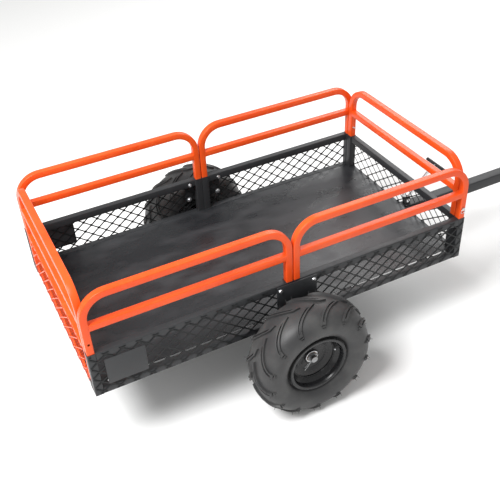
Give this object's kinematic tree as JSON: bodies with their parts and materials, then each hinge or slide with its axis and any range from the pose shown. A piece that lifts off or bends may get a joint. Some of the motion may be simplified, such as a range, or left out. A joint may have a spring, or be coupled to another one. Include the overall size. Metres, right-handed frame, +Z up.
{
  "type": "tow behind cart",
  "caption": "Tilting tow-behind cart with a mesh-sided steel bed, lift-off tubular rails and tailgate, a tubular drawbar and low-pressure lugged tyres.",
  "frame": {"origin": "on the ground below the middle of the cart's bounding box", "axes": "+X along the drawbar towards the hitch, +Y to the cart's left, +Z up"},
  "size_m": [2.4, 1.2, 0.7354],
  "materials": {
    "frame_black": "semi-gloss powder coat",
    "floor_black": "semi-gloss powder coat",
    "rail_orange": "semi-gloss powder coat",
    "zinc_plate": "zinc plated",
    "rim_black": "satin black",
    "tyre_rubber": "matte rubber",
    "valve_rubber": "matte rubber",
    "grip_rubber": "matte rubber",
    "bush_bronze": "sintered",
    "plate_grey": "semi-gloss"
  },
  "bodies": {
    "chassis": {"tongue_tube": "frame_black", "axle_saddle": "frame_black", "axle_beam": "frame_black", "axle_bolts": "zinc_plate", "axle_spindles": "zinc_plate", "drawbar_braces": "frame_black", "hinge_brackets": "frame_black", "hinge_pins": "zinc_plate", "hitch_plates": "frame_black", "hitch_bolts": "zinc_plate", "latch_bracket": "frame_black", "latch_pivot": "zinc_plate", "latch_spring": "zinc_plate", "spindle_washers": "zinc_plate", "spindle_cotters": "zinc_plate"},
    "latch": {"latch_lever": "zinc_plate", "latch_grip": "grip_rubber"},
    "bed": {"floor_sheet": "floor_black", "cross_members": "frame_black", "pivot_ears": "frame_black", "rear_sill": "frame_black", "striker_tab": "frame_black", "left_front_frame": "frame_black", "left_rear_frame": "frame_black", "right_front_frame": "frame_black", "right_rear_frame": "frame_black", "front_frame": "frame_black", "left_front_mesh": "frame_black", "left_rear_mesh": "frame_black", "right_front_mesh": "frame_black", "right_rear_mesh": "frame_black", "front_mesh": "frame_black", "centre_plates": "frame_black", "centre_bolts": "zinc_plate", "name_plates": "plate_grey"},
    "left_front_rail": {"left_front_hoop": "rail_orange", "left_front_bar": "rail_orange"},
    "left_rear_rail": {"left_rear_hoop": "rail_orange", "left_rear_bar": "rail_orange"},
    "right_front_rail": {"right_front_hoop": "rail_orange", "right_front_bar": "rail_orange"},
    "right_rear_rail": {"right_rear_hoop": "rail_orange", "right_rear_bar": "rail_orange"},
    "front_rail": {"front_hoop": "rail_orange", "front_bar": "rail_orange"},
    "tailgate": {"tailgate_hoop": "rail_orange", "tailgate_bars": "rail_orange", "tailgate_mesh": "rail_orange"},
    "left_pin": {"left_quick_pin": "zinc_plate"},
    "right_pin": {"right_quick_pin": "zinc_plate"},
    "left_wheel": {"left_tyre": "tyre_rubber", "left_rim": "rim_black", "left_hub": "zinc_plate", "left_bushes": "bush_bronze", "left_valve": "valve_rubber"},
    "right_wheel": {"right_tyre": "tyre_rubber", "right_rim": "rim_black", "right_hub": "zinc_plate", "right_bushes": "bush_bronze", "right_valve": "valve_rubber"}
  },
  "joints": [
    {"name": "bed_tilt", "type": "hinge", "parent": "chassis", "child": "bed", "pos_m": [-0.58, 0, 0.2865], "axis": [0, -1, 0], "range_deg": [0, 26]},
    {"name": "left_wheel_spin", "type": "hinge", "parent": "chassis", "child": "left_wheel", "pos_m": [-0.45, 0.508, 0.235], "axis": [0, 1, 0], "continuous": true},
    {"name": "right_wheel_spin", "type": "hinge", "parent": "chassis", "child": "right_wheel", "pos_m": [-0.45, -0.508, 0.235], "axis": [0, 1, 0], "continuous": true},
    {"name": "latch_turn", "type": "hinge", "parent": "chassis", "child": "latch", "pos_m": [0.34, 0, 0.3335], "axis": [0, -1, 0], "range_deg": [0, 55], "stiffness_Nm_per_rad": 0.2, "springref_deg": -17.19},
    {"name": "front_rail_lift", "type": "slide", "parent": "bed", "child": "front_rail", "axis": [0, 0, 1], "range_m": [0, 0.2]},
    {"name": "left_front_rail_lift", "type": "slide", "parent": "bed", "child": "left_front_rail", "axis": [0, 0, 1], "range_m": [0, 0.2]},
    {"name": "right_front_rail_lift", "type": "slide", "parent": "bed", "child": "right_front_rail", "axis": [0, 0, 1], "range_m": [0, 0.2]},
    {"name": "left_rear_rail_lift", "type": "slide", "parent": "bed", "child": "left_rear_rail", "axis": [0, 0, 1], "range_m": [0, 0.2]},
    {"name": "right_rear_rail_lift", "type": "slide", "parent": "bed", "child": "right_rear_rail", "axis": [0, 0, 1], "range_m": [0, 0.2]},
    {"name": "tailgate_lift", "type": "slide", "parent": "bed", "child": "tailgate", "axis": [0, 0, 1], "range_m": [0, 0.2]},
    {"name": "left_pin_pull", "type": "slide", "parent": "front_rail", "child": "left_pin", "axis": [0, 1, 0], "range_m": [0, 0.07]},
    {"name": "right_pin_pull", "type": "slide", "parent": "front_rail", "child": "right_pin", "axis": [0, -1, 0], "range_m": [0, 0.07]}
  ],
  "couplings": [
    {"joint": "left_front_rail_lift", "follows": "front_rail_lift", "ratio": 1},
    {"joint": "right_front_rail_lift", "follows": "front_rail_lift", "ratio": 1}
  ]
}
